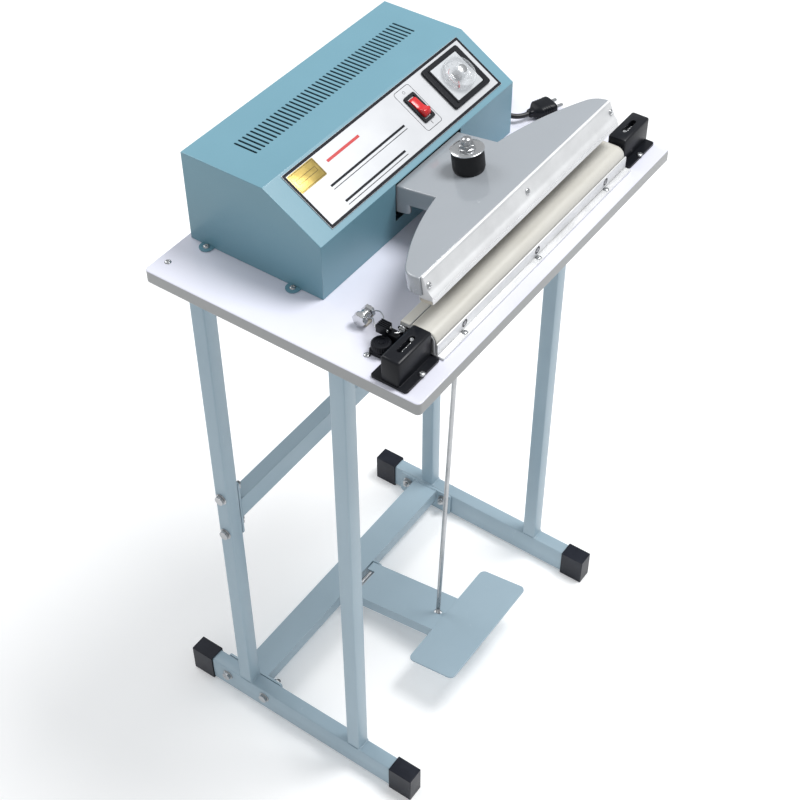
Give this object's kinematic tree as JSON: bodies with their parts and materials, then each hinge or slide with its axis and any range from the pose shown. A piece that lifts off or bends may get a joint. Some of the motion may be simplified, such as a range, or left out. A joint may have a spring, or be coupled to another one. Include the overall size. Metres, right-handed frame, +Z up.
{
  "type": "pedal impulse heat sealer",
  "caption": "Bench impulse heat sealer on a tube stand: a foot pedal pulls a hinged jaw down onto a heated strip to weld plastic film.",
  "frame": {"origin": "on the floor, in the middle of the plan outline", "axes": "+X runs along the jaws to the right of the person sealing, +Y away from them towards the case, +Z up"},
  "size_m": [0.5, 0.392, 0.8816],
  "materials": {
    "stand_paint": "satin blue-grey paint",
    "cap_rubber": "moulded black",
    "laminate": "white melamine face over board",
    "case_paint": "fine textured teal-blue paint",
    "arm_paint": "satin silver-grey paint",
    "plate_white": "satin white film with a dark border",
    "black_plastic": "moulded, fine grain",
    "red_plastic": "gloss",
    "dial_aluminium": "brushed",
    "clear_plastic": "clear, polished",
    "laminations": "varnished sheet steel",
    "winding": "varnished copper wire under tape",
    "circuit_board": "lacquered",
    "plated_steel": "zinc plated",
    "spring_steel": "drawn wire",
    "jaw_aluminium": "mill finish extrusion",
    "silicone": "matt silicone",
    "nichrome": "flat resistance strip",
    "ptfe_cloth": "PTFE-coated glass cloth, satin",
    "rubber": "matt black",
    "cord_pvc": "black PVC sheath",
    "plug_plastic": "moulded black"
  },
  "bodies": {
    "stand": {"brace_bolt_left_1": "plated_steel", "brace_bolt_left_2": "plated_steel", "brace_bolt_right_1": "plated_steel", "brace_bolt_right_2": "plated_steel", "cap_back_left": "cap_rubber", "cap_back_right": "cap_rubber", "cap_front_left": "cap_rubber", "cap_front_right": "cap_rubber", "case_base": "case_paint", "case_cover": "case_paint", "cloth_clamp": "jaw_aluminium", "cord_hank": "cord_pvc", "cord_lead": "cord_pvc", "cord_tail": "cord_pvc", "cross_member": "stand_paint", "end_bracket_left": "black_plastic", "end_bracket_right": "black_plastic", "heating_element": "nichrome", "leg_back_left": "stand_paint", "leg_back_right": "stand_paint", "leg_front_left": "stand_paint", "leg_front_right": "stand_paint", "lower_jaw": "jaw_aluminium", "microswitch": "black_plastic", "nameplate": "plate_white", "pedal_pin": "plated_steel", "pivot_bracket_left": "plated_steel", "pivot_bracket_right": "plated_steel", "pivot_shaft": "plated_steel", "plug": "plug_plastic", "ptfe_cloth": "ptfe_cloth", "return_spring": "spring_steel", "runner_left": "stand_paint", "runner_right": "stand_paint", "strain_relief": "rubber", "switch_bezel": "black_plastic", "table_top": "laminate", "terminal_bolt": "plated_steel", "terminal_pad": "silicone", "timer_board": "circuit_board", "timer_dial": "dial_aluminium", "timer_plate": "black_plastic", "top_rail_left": "stand_paint", "top_rail_right": "stand_paint", "transformer_coil": "winding", "transformer_core": "laminations", "upper_brace": "stand_paint"},
    "pedal": {"pedal_arm": "stand_paint", "pedal_plate": "stand_paint"},
    "pull_rod": {"pull_rod": "plated_steel", "rod_nut": "plated_steel"},
    "jaw_arm": {"jaw_arm": "arm_paint", "upper_jaw_bar": "jaw_aluminium", "silicone_strip": "silicone", "rubber_cushion": "rubber", "cushion_washer": "plated_steel", "cushion_nut": "plated_steel"},
    "rocker": {"switch_rocker": "red_plastic"},
    "timer_knob": {"timer_knob": "clear_plastic"},
    "tension_knob": {"tension_knob": "black_plastic"}
  },
  "joints": [
    {"name": "arm_hinge", "type": "hinge", "parent": "stand", "child": "jaw_arm", "pos_m": [0.006, 0.034, 0.806], "axis": [1, 0, 0], "range_deg": [0, 6.68], "stiffness_Nm_per_rad": 12, "springref_deg": -20.05, "deforming": ["return_spring"]},
    {"name": "pedal_hinge", "type": "hinge", "parent": "stand", "child": "pedal", "pos_m": [0.0075, 0.0745, 0.033], "axis": [1, 0, 0], "range_deg": [0, 6]},
    {"name": "rod_slide", "type": "slide", "parent": "stand", "child": "pull_rod", "axis": [0, 0.0337, -0.9994], "range_m": [0, 0.0138]},
    {"name": "rocker_hinge", "type": "hinge", "parent": "stand", "child": "rocker", "pos_m": [0.0411, 0.00554, 0.85846], "axis": [1, 0, 0], "range_deg": [0, 18]},
    {"name": "timer_turn", "type": "hinge", "parent": "stand", "child": "timer_knob", "pos_m": [0.1108, 0.00657, 0.85675], "axis": [0, -0.5163, 0.8564], "range_deg": [0, 270]},
    {"name": "tension_turn", "type": "hinge", "parent": "stand", "child": "tension_knob", "pos_m": [-0.2105, -0.124, 0.7773], "axis": [0, 0, 1], "range_deg": [0, 300]}
  ],
  "couplings": [
    {"joint": "pedal_hinge", "follows": "arm_hinge", "ratio": 0.89221},
    {"joint": "rod_slide", "follows": "arm_hinge", "m_per_rad": 0.11746}
  ]
}
